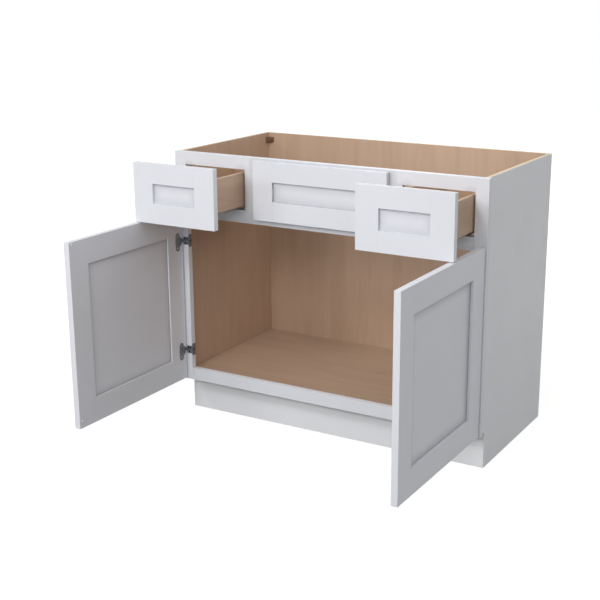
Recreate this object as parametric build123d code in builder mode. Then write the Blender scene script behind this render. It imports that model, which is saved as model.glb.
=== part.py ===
"""Sink base cabinet: a face-framed box with two doors, two drawers and a fixed false front.

Millimetres, +Z up. X runs along the cabinet's width with 0 at its centre, Y runs from the
front to the wall with 0 at the front of the face frame, and Z is 0 at the floor.
The rest pose has both doors standing open at a right angle and both drawers pulled part way out.
"""
from build123d import *
import os

os.makedirs("parts", exist_ok=True)

# Overall cabinet
cabinet_width = 1067.0
cabinet_height = 876.0
cabinet_depth = 532.0
toe_kick_height = 115.0
toe_kick_setback = 50.0

# Face frame
frame_thickness = 19.0
frame_member_width = 40.0
drawer_opening_height = 127.0
mullion_width = 76.0
mullion_centre_x = 231.0
tenon_length = 12.0
tenon_thickness = 8.0
tenon_shoulder = 6.0
glue_gap = 0.1

# Carcass panels
panel_thickness = 12.0
frame_overhang = 7.5
groove_depth = 6.0
deck_below_rail = 6.0

# Corner braces under the worktop
brace_leg = 22.0
brace_height = 18.0
brace_top_drop = 15.0
brace_hole_inset = 7.0
brace_hole_radius = 2.25

# Shaker doors and drawer fronts
front_thickness = 19.0
side_reveal = 6.5
edge_reveal = 6.0
front_gap = 3.0
panel_sheet = 6.0
back_recess = 5.0
stick_groove = 9.0
panel_float = 1.0
groove_slack = 0.2

door_centre_gap = 3.0
door_top_overlay = 15.5
door_standoff = 2.0
door_stile = 76.0
door_rail = 76.0

front_stile = 70.0
front_rail = 61.0

# Concealed hinges: a pin inside the door's thickness, near its edge
pin_from_edge = 5.5
pin_from_back = 10.0
hinge_from_door_end = 97.5
cup_radius = 17.5
cup_wall = 3.0
cup_depth = 11.0
cup_floor = 1.0
cup_from_edge = 20.5
flange_from_edge = 26.0
flange_thickness = 0.9
flange_half_width = 10.5
flange_half_height = 30.0
housing_from_edge = 1.5
housing_reach = 14.0
housing_half_height = 9.6
housing_depth = 15.0
housing_wall = 1.0
arm_half_height = 6.0
arm_side_gap = 0.3
arm_thickness = 3.0
strap_thickness = 1.7
strap_to_flange = 0.5
frame_plate_thickness = 0.8
frame_plate_half_height = 13.0
clip_thickness = 1.5
clip_half_height = 20.0
clip_end_space = 2.0
knuckle_radius = 3.5
pin_radius = 1.5
pin_running_gap = 0.05

# Rubber bumpers on the door backs
bumper_radius = 4.0
bumper_thickness = 1.7
bumper_from_lock_edge = 12.0
bumper_from_top = 8.0
bumper_from_bottom = 20.0

# Drawer boxes
drawer_closed_gap = 1.0
drawer_pulled_out = 196.0
drawer_box_side_gap = 5.0
drawer_wall = 12.0
drawer_box_bottom_gap = 15.0
drawer_box_top_gap = 9.0
drawer_bottom_sheet = 6.0
drawer_bottom_inset = 12.0
drawer_groove = 4.0
drawer_back_inset = 5.0
finger_count = 7

# Undermount slides, three telescoping members on each side of a drawer
slide_side_gap = 1.25
slide_base_gap = 2.0
slide_wall = 1.5
slide_gap = 0.3
cabinet_member_half = 12.0
cabinet_member_height = 16.0
slide_front_space = 3.0
slide_rear_space = 41.0
middle_member_shorter = 57.0
middle_member_height = 17.2
drawer_member_shorter = 24.0
drawer_plate_half = 11.5
front_tab_drop = 31.0
rear_tab_height = 34.0

# Values that follow from the ones above
half_width = cabinet_width / 2
frame_back_y = frame_thickness
side_outer_x = half_width - frame_overhang
side_inner_x = side_outer_x - panel_thickness
back_front_y = cabinet_depth - panel_thickness
stile_inner_x = half_width - frame_member_width
bottom_rail_top_z = toe_kick_height + frame_member_width
deck_top_z = bottom_rail_top_z - deck_below_rail
deck_bottom_z = deck_top_z - panel_thickness
top_rail_bottom_z = cabinet_height - frame_member_width
mid_rail_top_z = top_rail_bottom_z - drawer_opening_height
mid_rail_bottom_z = mid_rail_top_z - frame_member_width
slide_base_z = mid_rail_top_z + slide_base_gap
slide_front_y = frame_back_y + slide_front_space
cabinet_member_length = back_front_y - slide_front_y - slide_rear_space
middle_member_length = cabinet_member_length - middle_member_shorter
drawer_member_length = cabinet_member_length - drawer_member_shorter
drawer_box_length = cabinet_member_length
drawer_box_bottom_z = mid_rail_top_z + drawer_box_bottom_gap
drawer_box_top_z = top_rail_bottom_z - drawer_box_top_gap
drawer_outer_x = stile_inner_x
drawer_inner_x = mullion_centre_x + mullion_width / 2
drawer_centre_x = (drawer_outer_x + drawer_inner_x) / 2
drawer_half_width = (drawer_outer_x - drawer_inner_x) / 2 - drawer_box_side_gap
drawer_half_inner = drawer_half_width - drawer_wall
drawer_front_y = -drawer_closed_gap - drawer_pulled_out
door_edge_x = half_width - side_reveal
door_width = door_edge_x - door_centre_gap / 2
door_bottom_z = toe_kick_height + edge_reveal
door_top_z = mid_rail_bottom_z + door_top_overlay
door_height = door_top_z - door_bottom_z
front_bottom_z = door_top_z + front_gap
front_top_z = cabinet_height - edge_reveal
front_height = front_top_z - front_bottom_z
false_front_edge_x = mullion_centre_x - front_gap
drawer_front_inner_x = mullion_centre_x + front_gap
sheet_back = back_recess
sheet_front = back_recess + panel_sheet
upper_hinge_v = door_height - hinge_from_door_end
lower_hinge_v = hinge_from_door_end
flange_screw_offset = flange_half_height - flange_half_width
flange_near_x = door_edge_x - flange_from_edge + flange_half_width
clip_length = frame_thickness - clip_end_space
hinge_axis_x = door_edge_x - pin_from_edge
hinge_axis_y = -door_standoff - pin_from_back


def block(low, high, mode=Mode.ADD):
    """Add or cut a box between two opposite corners, in the active part's own frame."""
    lows = [min(low[i], high[i]) for i in range(3)]
    highs = [max(low[i], high[i]) for i in range(3)]
    spans = [highs[i] - lows[i] for i in range(3)]
    with Locations(tuple(lows)):
        Box(spans[0], spans[1], spans[2], align=(Align.MIN, Align.MIN, Align.MIN), mode=mode)


def save(builder, name):
    """Label the finished piece and write its file."""
    builder.part.label = name
    export_step(builder.part, "parts/" + name + ".step")


def mirrored(value, side):
    """A position measured for the right-hand side, moved to the given side."""
    return value * side


# ---------------------------------------------------------------- carcass panels
def side_panel(side, name):
    """One end panel with its toe notch, its groove for the floor and its rebate for the back."""
    inner_x = mirrored(side_inner_x, side)
    outer_x = mirrored(side_outer_x, side)
    grooved_x = mirrored(side_inner_x + groove_depth, side)
    notch_y = toe_kick_setback + panel_thickness
    left_x = min(inner_x, outer_x)
    with BuildPart() as panel:
        with BuildSketch(Plane.YZ.offset(left_x)):
            with BuildLine():
                Polyline(
                    (notch_y, 0),
                    (cabinet_depth, 0),
                    (cabinet_depth, cabinet_height),
                    (frame_back_y, cabinet_height),
                    (frame_back_y, toe_kick_height),
                    (notch_y, toe_kick_height),
                    close=True,
                )
            make_face()
        extrude(amount=panel_thickness)
        block(
            (inner_x, frame_back_y, deck_bottom_z),
            (grooved_x, back_front_y, deck_top_z),
            Mode.SUBTRACT,
        )
        block((inner_x, back_front_y, 0), (grooved_x, cabinet_depth, cabinet_height), Mode.SUBTRACT)
    save(panel, name)


side_panel(-1, "side_panel_left")
side_panel(1, "side_panel_right")

panel_edge_x = side_inner_x + groove_depth

with BuildPart() as bottom_panel:
    block((-panel_edge_x, frame_back_y, deck_bottom_z), (panel_edge_x, back_front_y, deck_top_z))
save(bottom_panel, "bottom_panel")

with BuildPart() as back_panel:
    block((-panel_edge_x, back_front_y, 0), (panel_edge_x, cabinet_depth, cabinet_height))
save(back_panel, "back_panel")

# The toe board covers the ends of the side panels and stands up under the floor between them.
with BuildPart() as toe_board:
    with BuildSketch(Plane.XZ.offset(-toe_kick_setback)):
        with BuildLine():
            Polyline(
                (-side_outer_x, 0),
                (side_outer_x, 0),
                (side_outer_x, toe_kick_height),
                (side_inner_x, toe_kick_height),
                (side_inner_x, deck_bottom_z),
                (-side_inner_x, deck_bottom_z),
                (-side_inner_x, toe_kick_height),
                (-side_outer_x, toe_kick_height),
                close=True,
            )
        make_face()
    extrude(amount=-panel_thickness)
save(toe_board, "toe_board")


# ---------------------------------------------------------------- face frame
tenon_low_y = (frame_thickness - tenon_thickness) / 2
tenon_high_y = tenon_low_y + tenon_thickness


def tenon_span(low, high):
    """The height of a tenon between its two shoulders."""
    return low + tenon_shoulder, high - tenon_shoulder


def mortise(x_low, x_high, z_low, z_high):
    """Cut a mortise a glue gap wider than the tenon that fills it."""
    block(
        (x_low, tenon_low_y - glue_gap, z_low),
        (x_high, tenon_high_y + glue_gap, z_high),
        Mode.SUBTRACT,
    )


rail_heights = {
    "frame_bottom_rail": (toe_kick_height, bottom_rail_top_z),
    "frame_mid_rail": (mid_rail_bottom_z, mid_rail_top_z),
    "frame_top_rail": (top_rail_bottom_z, cabinet_height),
}


def frame_stile(side, name):
    """One outer stile, with a mortise for each of the three rails."""
    inner_x = mirrored(stile_inner_x, side)
    outer_x = mirrored(half_width, side)
    mortise_x = mirrored(stile_inner_x + tenon_length + glue_gap, side)
    with BuildPart() as stile:
        block((inner_x, 0, toe_kick_height), (outer_x, frame_thickness, cabinet_height))
        for low_z, high_z in rail_heights.values():
            tenon_low, tenon_high = tenon_span(low_z, high_z)
            mortise(inner_x, mortise_x, tenon_low - glue_gap, tenon_high + glue_gap)
    save(stile, name)


def mullion_tenon_edges(side):
    """The two X edges of a mullion's tenons."""
    centre = mirrored(mullion_centre_x, side)
    half = mullion_width / 2 - tenon_shoulder
    return centre - half, centre + half


def frame_rail(name):
    """One rail, with a tenon at each end and mortises where the mullions meet it."""
    low_z, high_z = rail_heights[name]
    tenon_low, tenon_high = tenon_span(low_z, high_z)
    with BuildPart() as rail:
        block((-stile_inner_x, 0, low_z), (stile_inner_x, frame_thickness, high_z))
        for side in (-1, 1):
            block(
                (mirrored(stile_inner_x, side), tenon_low_y, tenon_low),
                (mirrored(stile_inner_x + tenon_length, side), tenon_high_y, tenon_high),
            )
            left_x, right_x = mullion_tenon_edges(side)
            if name == "frame_top_rail":
                mortise(left_x - glue_gap, right_x + glue_gap, low_z, low_z + tenon_length + glue_gap)
            if name == "frame_mid_rail":
                mortise(left_x - glue_gap, right_x + glue_gap, high_z - tenon_length - glue_gap, high_z)
    save(rail, name)


def frame_mullion(side, name):
    """One short upright between the mid rail and the top rail."""
    centre = mirrored(mullion_centre_x, side)
    half = mullion_width / 2
    left_x, right_x = mullion_tenon_edges(side)
    with BuildPart() as mullion:
        block((centre - half, 0, mid_rail_top_z), (centre + half, frame_thickness, top_rail_bottom_z))
        block(
            (left_x, tenon_low_y, mid_rail_top_z - tenon_length),
            (right_x, tenon_high_y, top_rail_bottom_z + tenon_length),
        )
    save(mullion, name)


frame_stile(-1, "frame_stile_left")
frame_stile(1, "frame_stile_right")
for rail_name in rail_heights:
    frame_rail(rail_name)
frame_mullion(-1, "frame_mullion_left")
frame_mullion(1, "frame_mullion_right")

# Four moulded corner braces, each with a hole for the screw that holds the worktop.
brace_top_z = cabinet_height - brace_top_drop
brace_bottom_z = brace_top_z - brace_height
with BuildPart() as corner_braces:
    for side in (-1, 1):
        for corner_y, turn in ((frame_back_y, 1), (back_front_y, -1)):
            corner_x = mirrored(side_inner_x, side)
            with BuildSketch(Plane.XY.offset(brace_bottom_z)):
                with BuildLine():
                    Polyline(
                        (corner_x, corner_y),
                        (corner_x - side * brace_leg, corner_y),
                        (corner_x, corner_y + turn * brace_leg),
                        close=True,
                    )
                make_face()
                with Locations((corner_x - side * brace_hole_inset, corner_y + turn * brace_hole_inset)):
                    Circle(brace_hole_radius, mode=Mode.SUBTRACT)
            extrude(amount=brace_height)
save(corner_braces, "corner_braces")


# ---------------------------------------------------------------- framed shaker fronts
def shaker_plane(origin, x_dir, z_dir):
    """A front's own frame: X from its left edge, Y up, Z from its back face to its front face."""
    return Plane(origin=origin, x_dir=x_dir, z_dir=z_dir)


def shaker_stile(plane, left, width, height, groove_side, name, hinge_edge=None):
    """An upright of a shaker front, grooved along its inner edge; hinge_edge bores the hinge pockets."""
    right = left + width
    if groove_side > 0:
        groove_low = right - stick_groove
        groove_high = right
    else:
        groove_low = left
        groove_high = left + stick_groove
    with BuildPart(plane) as stile:
        block((left, 0, 0), (right, height, front_thickness))
        block(
            (groove_low, 0, sheet_back),
            (groove_high, height, sheet_front + groove_slack),
            Mode.SUBTRACT,
        )
        if hinge_edge is not None:
            for level in (lower_hinge_v, upper_hinge_v):
                hinge_pocket(hinge_edge, level)
    save(stile, name)


def shaker_rail(plane, width, stile_width, low, high, groove_at_top, name):
    """A cross member with a tongue at each end that fills the stiles' grooves."""
    if groove_at_top:
        groove_low = high - stick_groove
        groove_high = high
    else:
        groove_low = low
        groove_high = low + stick_groove
    tongue = stick_groove - groove_slack
    with BuildPart(plane) as rail:
        block((stile_width, low, 0), (width - stile_width, high, front_thickness))
        block((stile_width - tongue, low, sheet_back), (width - stile_width + tongue, high, sheet_front))
        block(
            (stile_width - tongue, groove_low, sheet_back),
            (width - stile_width + tongue, groove_high, sheet_front + groove_slack),
            Mode.SUBTRACT,
        )
    save(rail, name)


def shaker_panel(plane, width, height, stile_width, rail_width, name):
    """The flat sheet that floats in the grooves of its frame."""
    reach = stick_groove - panel_float
    with BuildPart(plane) as sheet:
        block(
            (stile_width - reach, rail_width - reach, sheet_back),
            (width - stile_width + reach, height - rail_width + reach, sheet_front),
        )
    save(sheet, name)


def shaker_front(plane, width, height, stile_width, rail_width, names, hinge_side=0):
    """All five pieces of one front. hinge_side is -1 for hinges at its left edge, 1 for its right."""
    left_hinge = 0.0 if hinge_side == -1 else None
    right_hinge = width if hinge_side == 1 else None
    shaker_stile(plane, 0, stile_width, height, 1, names[0], left_hinge)
    shaker_stile(plane, width - stile_width, stile_width, height, -1, names[1], right_hinge)
    shaker_rail(plane, width, stile_width, 0, rail_width, True, names[2])
    shaker_rail(plane, width, stile_width, height - rail_width, height, False, names[3])
    shaker_panel(plane, width, height, stile_width, rail_width, names[4])


# ---------------------------------------------------------------- hinges, in a door's own frame
def from_hinge_edge(edge, distance):
    """A door X that lies this far in from its hinge edge."""
    if edge == 0:
        return distance
    return edge - distance


def hinge_pocket(edge, level):
    """Cut the round cup pocket, the housing's pocket and the arm's notch through the edge."""
    arm_room = arm_half_height + arm_side_gap
    with Locations((from_hinge_edge(edge, cup_from_edge), level, 0)):
        Cylinder(
            cup_radius,
            cup_depth,
            align=(Align.CENTER, Align.CENTER, Align.MIN),
            mode=Mode.SUBTRACT,
        )
    block(
        (from_hinge_edge(edge, housing_from_edge), level - housing_half_height, 0),
        (from_hinge_edge(edge, housing_reach), level + housing_half_height, housing_depth),
        Mode.SUBTRACT,
    )
    block(
        (from_hinge_edge(edge, 0), level - arm_room, 0),
        (from_hinge_edge(edge, housing_from_edge), level + arm_room, housing_depth - housing_wall),
        Mode.SUBTRACT,
    )


def hinge_cups(plane, edge, name):
    """Both cups of one door, each with the housing that holds the pin. A flange with round ends covers
    the cup's far part and leaves its mouth open for the arm."""
    arm_room = arm_half_height + arm_side_gap
    cup_x = from_hinge_edge(edge, cup_from_edge)
    flange_x = from_hinge_edge(edge, flange_from_edge)
    pin_x = from_hinge_edge(edge, pin_from_edge)
    near_x = from_hinge_edge(edge, housing_from_edge)
    far_x = from_hinge_edge(edge, housing_reach)
    with BuildPart(plane) as cups:
        for level in (lower_hinge_v, upper_hinge_v):
            with Locations((cup_x, level, 0)):
                Cylinder(cup_radius, cup_depth, align=(Align.CENTER, Align.CENTER, Align.MIN))
            block(
                (near_x, level - housing_half_height, 0),
                (far_x, level + housing_half_height, housing_depth),
            )
            with Locations((cup_x, level, 0)):
                Cylinder(
                    cup_radius - cup_wall,
                    cup_depth - cup_floor,
                    align=(Align.CENTER, Align.CENTER, Align.MIN),
                    mode=Mode.SUBTRACT,
                )
            block(
                (near_x, level - arm_room, 0),
                (from_hinge_edge(edge, housing_reach - 2 * housing_wall), level + arm_room,
                 housing_depth - housing_wall),
                Mode.SUBTRACT,
            )
            block(
                (from_hinge_edge(edge, 0), level - arm_room, 0),
                (cup_x, level + arm_room, cup_depth - cup_floor),
                Mode.SUBTRACT,
            )
            with Locations(Location((pin_x, level, pin_from_back), (90, 0, 0))):
                Cylinder(pin_radius, 2 * housing_half_height, mode=Mode.SUBTRACT)
            block(
                (flange_x - flange_half_width, level - flange_screw_offset, -flange_thickness),
                (flange_x + flange_half_width, level + flange_screw_offset, 0),
            )
            for wing in (-flange_screw_offset, flange_screw_offset):
                with Locations((flange_x, level + wing, -flange_thickness)):
                    Cylinder(
                        flange_half_width,
                        flange_thickness,
                        align=(Align.CENTER, Align.CENTER, Align.MIN),
                    )
    save(cups, name)


def hinge_pins(plane, edge, name):
    """The two pins that a door turns on."""
    pin_x = from_hinge_edge(edge, pin_from_edge)
    with BuildPart(plane) as pins:
        for level in (lower_hinge_v, upper_hinge_v):
            with Locations(Location((pin_x, level, pin_from_back), (90, 0, 0))):
                Cylinder(pin_radius, 2 * housing_half_height)
    save(pins, name)


def door_bumpers(plane, lock_edge, direction, name):
    """Two rubber pads on the back of a door, near its lock edge."""
    pad_x = lock_edge + direction * bumper_from_lock_edge
    with BuildPart(plane) as bumpers:
        for level in (bumper_from_bottom, door_height - bumper_from_top):
            with Locations((pad_x, level, -bumper_thickness)):
                Cylinder(bumper_radius, bumper_thickness, align=(Align.CENTER, Align.CENTER, Align.MIN))
    save(bumpers, name)


def swung_open(x, y, side):
    """Turn a point of a closed door a right angle about its hinge pin, to the open rest pose."""
    axis_x = mirrored(hinge_axis_x, side)
    from_axis_x = x - axis_x
    from_axis_y = y - hinge_axis_y
    return axis_x - side * from_axis_y, hinge_axis_y + side * from_axis_x


left_corner = swung_open(-door_edge_x, -door_standoff, -1)
left_door_plane = shaker_plane((left_corner[0], left_corner[1], door_bottom_z), (0, -1, 0), (-1, 0, 0))
right_corner = swung_open(door_centre_gap / 2, -door_standoff, 1)
right_door_plane = shaker_plane((right_corner[0], right_corner[1], door_bottom_z), (0, 1, 0), (1, 0, 0))

shaker_front(
    left_door_plane, door_width, door_height, door_stile, door_rail,
    (
        "left_door_hinge_stile", "left_door_lock_stile",
        "left_door_bottom_rail", "left_door_top_rail", "left_door_panel",
    ),
    -1,
)
shaker_front(
    right_door_plane, door_width, door_height, door_stile, door_rail,
    (
        "right_door_lock_stile", "right_door_hinge_stile",
        "right_door_bottom_rail", "right_door_top_rail", "right_door_panel",
    ),
    1,
)
hinge_cups(left_door_plane, 0, "left_door_hinge_cups")
hinge_cups(right_door_plane, door_width, "right_door_hinge_cups")
hinge_pins(left_door_plane, 0, "left_door_hinge_pins")
hinge_pins(right_door_plane, door_width, "right_door_hinge_pins")
door_bumpers(left_door_plane, door_width, -1, "left_door_bumpers")
door_bumpers(right_door_plane, 0, 1, "right_door_bumpers")

# The hinge arms clip over the stiles' inner edges, lie on their front faces with a thin plate that the
# doors' flanges close over, and carry the knuckles that the pins run in.
with BuildPart() as hinge_arms:
    for side in (-1, 1):
        axis_x = mirrored(hinge_axis_x, side)
        clip_x = mirrored(stile_inner_x - clip_thickness, side)
        edge_x = mirrored(stile_inner_x, side)
        arm_near_x = mirrored(hinge_axis_x - arm_thickness / 2, side)
        arm_far_x = mirrored(hinge_axis_x + arm_thickness / 2, side)
        strap_near_x = mirrored(flange_near_x + strap_to_flange, side)
        for level in (door_bottom_z + lower_hinge_v, door_bottom_z + upper_hinge_v):
            low_z = level - arm_half_height
            high_z = level + arm_half_height
            block((strap_near_x, -strap_thickness, low_z), (arm_far_x, 0, high_z))
            block((arm_near_x, hinge_axis_y, low_z), (arm_far_x, 0, high_z))
            block(
                (clip_x, -frame_plate_thickness, level - frame_plate_half_height),
                (strap_near_x, 0, level + frame_plate_half_height),
            )
            block(
                (clip_x, -frame_plate_thickness, level - frame_plate_half_height),
                (edge_x, clip_length, level + frame_plate_half_height),
            )
            block(
                (clip_x, clip_thickness, level - clip_half_height),
                (edge_x, clip_length, level + clip_half_height),
            )
            with Locations((axis_x, hinge_axis_y, level)):
                Cylinder(knuckle_radius, 2 * arm_half_height)
            with Locations((axis_x, hinge_axis_y, level)):
                Cylinder(pin_radius + pin_running_gap, 2 * arm_half_height, mode=Mode.SUBTRACT)
save(hinge_arms, "hinge_arms")

# ---------------------------------------------------------------- false front
false_front_plane = shaker_plane((-false_front_edge_x, 0, front_bottom_z), (1, 0, 0), (0, -1, 0))
shaker_front(
    false_front_plane, 2 * false_front_edge_x, front_height, front_stile, front_rail,
    (
        "false_front_stile_left", "false_front_stile_right",
        "false_front_bottom_rail", "false_front_top_rail", "false_front_panel",
    ),
)


# ---------------------------------------------------------------- drawers
def drawer_side(side, centre_x, name):
    """A side of a drawer box: fingers at the front, a groove for the bottom, a dado for the back."""
    inner_x = centre_x + mirrored(drawer_half_inner, side)
    outer_x = centre_x + mirrored(drawer_half_width, side)
    groove_x = centre_x + mirrored(drawer_half_inner + drawer_groove, side)
    front_y = drawer_front_y
    back_y = drawer_front_y + drawer_box_length
    bottom_z = drawer_box_bottom_z + drawer_bottom_inset
    with BuildPart() as wall:
        block((inner_x, front_y, drawer_box_bottom_z), (outer_x, back_y, drawer_box_top_z))
        block((inner_x, front_y, bottom_z), (groove_x, back_y, bottom_z + drawer_bottom_sheet), Mode.SUBTRACT)
        block(
            (inner_x, back_y - drawer_back_inset - drawer_wall, bottom_z + drawer_bottom_sheet),
            (groove_x, back_y - drawer_back_inset, drawer_box_top_z),
            Mode.SUBTRACT,
        )
        for index in range(1, finger_count, 2):
            low_z, high_z = finger_span(index)
            block((inner_x, front_y, low_z), (outer_x, front_y + drawer_wall, high_z), Mode.SUBTRACT)
    save(wall, name)


def finger_span(index):
    """The height range of one finger of the corner joint, counted from the bottom."""
    step = (drawer_box_top_z - drawer_box_bottom_z) / finger_count
    return drawer_box_bottom_z + index * step, drawer_box_bottom_z + (index + 1) * step


def drawer(centre_x, word):
    """The box of one drawer: its front, two sides, back and bottom."""
    front_y = drawer_front_y
    back_y = drawer_front_y + drawer_box_length
    bottom_z = drawer_box_bottom_z + drawer_bottom_inset
    sheet_top_z = bottom_z + drawer_bottom_sheet
    grooved_half = drawer_half_inner + drawer_groove
    with BuildPart() as box_front:
        block(
            (centre_x - drawer_half_inner, front_y, drawer_box_bottom_z),
            (centre_x + drawer_half_inner, front_y + drawer_wall, drawer_box_top_z),
        )
        for index in range(1, finger_count, 2):
            low_z, high_z = finger_span(index)
            block(
                (centre_x - drawer_half_width, front_y, low_z),
                (centre_x + drawer_half_width, front_y + drawer_wall, high_z),
            )
        block(
            (centre_x - grooved_half, front_y + drawer_wall - drawer_groove, bottom_z),
            (centre_x + grooved_half, front_y + drawer_wall, sheet_top_z),
            Mode.SUBTRACT,
        )
    save(box_front, word + "_drawer_box_front")
    drawer_side(-1, centre_x, word + "_drawer_side_left")
    drawer_side(1, centre_x, word + "_drawer_side_right")
    with BuildPart() as box_back:
        block(
            (centre_x - grooved_half, back_y - drawer_back_inset - drawer_wall, sheet_top_z),
            (centre_x + grooved_half, back_y - drawer_back_inset, drawer_box_top_z),
        )
    save(box_back, word + "_drawer_box_back")
    with BuildPart() as box_bottom:
        block(
            (centre_x - grooved_half, front_y + drawer_wall - drawer_groove, bottom_z),
            (centre_x + grooved_half, back_y, sheet_top_z),
        )
    save(box_bottom, word + "_drawer_bottom")


drawer_front_width = door_edge_x - drawer_front_inner_x
left_front_plane = shaker_plane((-door_edge_x, drawer_front_y, front_bottom_z), (1, 0, 0), (0, -1, 0))
right_front_plane = shaker_plane(
    (drawer_front_inner_x, drawer_front_y, front_bottom_z), (1, 0, 0), (0, -1, 0)
)
for word, side, front_plane in (("left", -1, left_front_plane), ("right", 1, right_front_plane)):
    drawer(mirrored(drawer_centre_x, side), word)
    shaker_front(
        front_plane, drawer_front_width, front_height, front_stile, front_rail,
        (
            word + "_drawer_front_stile_left", word + "_drawer_front_stile_right",
            word + "_drawer_front_bottom_rail", word + "_drawer_front_top_rail",
            word + "_drawer_front_panel",
        ),
    )


# ---------------------------------------------------------------- drawer slides
slide_offset = drawer_half_inner - cabinet_member_half - slide_side_gap
middle_half = cabinet_member_half - slide_wall - slide_gap
middle_base_z = slide_base_z + slide_wall + slide_gap
rail_half = middle_half - slide_wall - slide_gap
rail_base_z = middle_base_z + slide_wall + slide_gap
middle_top_z = middle_base_z + middle_member_height
drawer_sheet_z = drawer_box_bottom_z + drawer_bottom_inset
slide_centres = [
    mirrored(drawer_centre_x, side) + offset for side in (-1, 1) for offset in (-slide_offset, slide_offset)
]


def channel(centre_x, half, base_z, top_z, front_y, length):
    """A steel channel open at the top: a web and two flanges."""
    back_y = front_y + length
    block((centre_x - half, front_y, base_z), (centre_x + half, back_y, top_z))
    block(
        (centre_x - half + slide_wall, front_y, base_z + slide_wall),
        (centre_x + half - slide_wall, back_y, top_z),
        Mode.SUBTRACT,
    )


# The cabinet members run from the face frame to the back panel, with a tab bent at each end.
with BuildPart() as slide_cabinet_members:
    for centre_x in slide_centres:
        channel(
            centre_x, cabinet_member_half, slide_base_z, slide_base_z + cabinet_member_height,
            slide_front_y, cabinet_member_length,
        )
        block(
            (centre_x - cabinet_member_half, frame_back_y, slide_base_z),
            (centre_x + cabinet_member_half, back_front_y, slide_base_z + slide_wall),
        )
        block(
            (centre_x - cabinet_member_half, frame_back_y, slide_base_z - front_tab_drop),
            (centre_x + cabinet_member_half, frame_back_y + slide_wall, slide_base_z + slide_wall),
        )
        block(
            (centre_x - cabinet_member_half, back_front_y - slide_wall, slide_base_z),
            (centre_x + cabinet_member_half, back_front_y, slide_base_z + rear_tab_height),
        )
save(slide_cabinet_members, "slide_cabinet_members")

for word, side in (("left", -1), ("right", 1)):
    centres = [mirrored(drawer_centre_x, side) + offset for offset in (-slide_offset, slide_offset)]
    with BuildPart() as middle_members:
        for centre_x in centres:
            channel(
                centre_x, middle_half, middle_base_z, middle_top_z,
                slide_front_y - drawer_pulled_out / 2, middle_member_length,
            )
    save(middle_members, word + "_drawer_slide_middles")
    with BuildPart() as drawer_members:
        for centre_x in centres:
            rail_front_y = slide_front_y - drawer_pulled_out
            rail_back_y = rail_front_y + drawer_member_length
            block(
                (centre_x - rail_half, rail_front_y, rail_base_z),
                (centre_x + rail_half, rail_back_y, drawer_sheet_z),
            )
            block(
                (centre_x - rail_half + slide_wall, rail_front_y, rail_base_z),
                (centre_x + rail_half - slide_wall, rail_back_y, drawer_sheet_z - slide_wall),
                Mode.SUBTRACT,
            )
            block(
                (centre_x - drawer_plate_half, rail_front_y, drawer_sheet_z - slide_wall),
                (centre_x + drawer_plate_half, rail_back_y, drawer_sheet_z),
            )
    save(drawer_members, word + "_drawer_slide_rails")
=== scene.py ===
import math

import bmesh
import bpy
from bpy.props import FloatProperty, FloatVectorProperty, PointerProperty
from mathutils import Matrix, Vector


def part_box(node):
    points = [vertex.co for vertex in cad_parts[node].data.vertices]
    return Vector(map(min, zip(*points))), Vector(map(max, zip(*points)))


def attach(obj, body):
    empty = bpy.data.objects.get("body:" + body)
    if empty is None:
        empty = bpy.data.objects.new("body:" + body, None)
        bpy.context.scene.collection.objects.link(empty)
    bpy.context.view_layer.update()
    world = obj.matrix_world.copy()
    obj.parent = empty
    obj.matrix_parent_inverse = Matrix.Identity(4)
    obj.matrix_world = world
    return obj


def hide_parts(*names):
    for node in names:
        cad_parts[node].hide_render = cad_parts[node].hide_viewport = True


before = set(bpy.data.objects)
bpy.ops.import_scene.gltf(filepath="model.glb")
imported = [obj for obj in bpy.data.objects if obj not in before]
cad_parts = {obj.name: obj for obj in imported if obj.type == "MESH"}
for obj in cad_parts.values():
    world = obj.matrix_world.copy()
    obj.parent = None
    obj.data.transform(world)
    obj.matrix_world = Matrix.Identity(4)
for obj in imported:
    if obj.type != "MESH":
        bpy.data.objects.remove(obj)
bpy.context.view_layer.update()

bl_info = {
    "name": "Sink base cabinet",
    "version": (1, 0, 0),
    "blender": (4, 5, 0),
    "location": "3D View > Sidebar > Sink Base",
    "description": "Finishes, small hardware and studio of a white shaker sink base cabinet",
    "category": "Object",
}

MM = 0.001
X, Y, Z = 0, 1, 2
SIDES = {"left": -1, "right": 1}

# ---------------------------------------------------------------- sizes that the hardware and the studio keep
SHARP_ANGLE = math.radians(35)  # edges sharper than this are eased, or shown as creases
WELD_DISTANCE = 0.01 * MM  # within which a node's loose triangles are joined
CORNER_SHADE_REACH = 30 * MM  # how far from an inside corner the lacquer carries painted shade
PLY_LAYERS = 7
PLY_SKIN = 0.045  # share of a sheet's thickness that shows as its face

SCREW_SEGMENTS = 16  # sides of a screw head, as many as its cross recess is drawn for
HEAD_PROFILE = ((1.0, 0.0), (1.0, 0.25), (0.93, 0.7), (0.66, 1.0))  # shares of a head's radius and height
HEAD_RIM = 0.12  # share of a head's radius that stays flat round its recess
RECESS_REACH = 0.5  # a recess arm's length from the middle, as a share of the head's radius
RECESS_ARM_HALF = 0.11  # half a recess arm's width, as a share of the head's radius
RECESS_DEPTH = 0.55  # share of a head's height
RECESS_TAPER = 0.7  # the recess's floor as a share of its mouth

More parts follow.
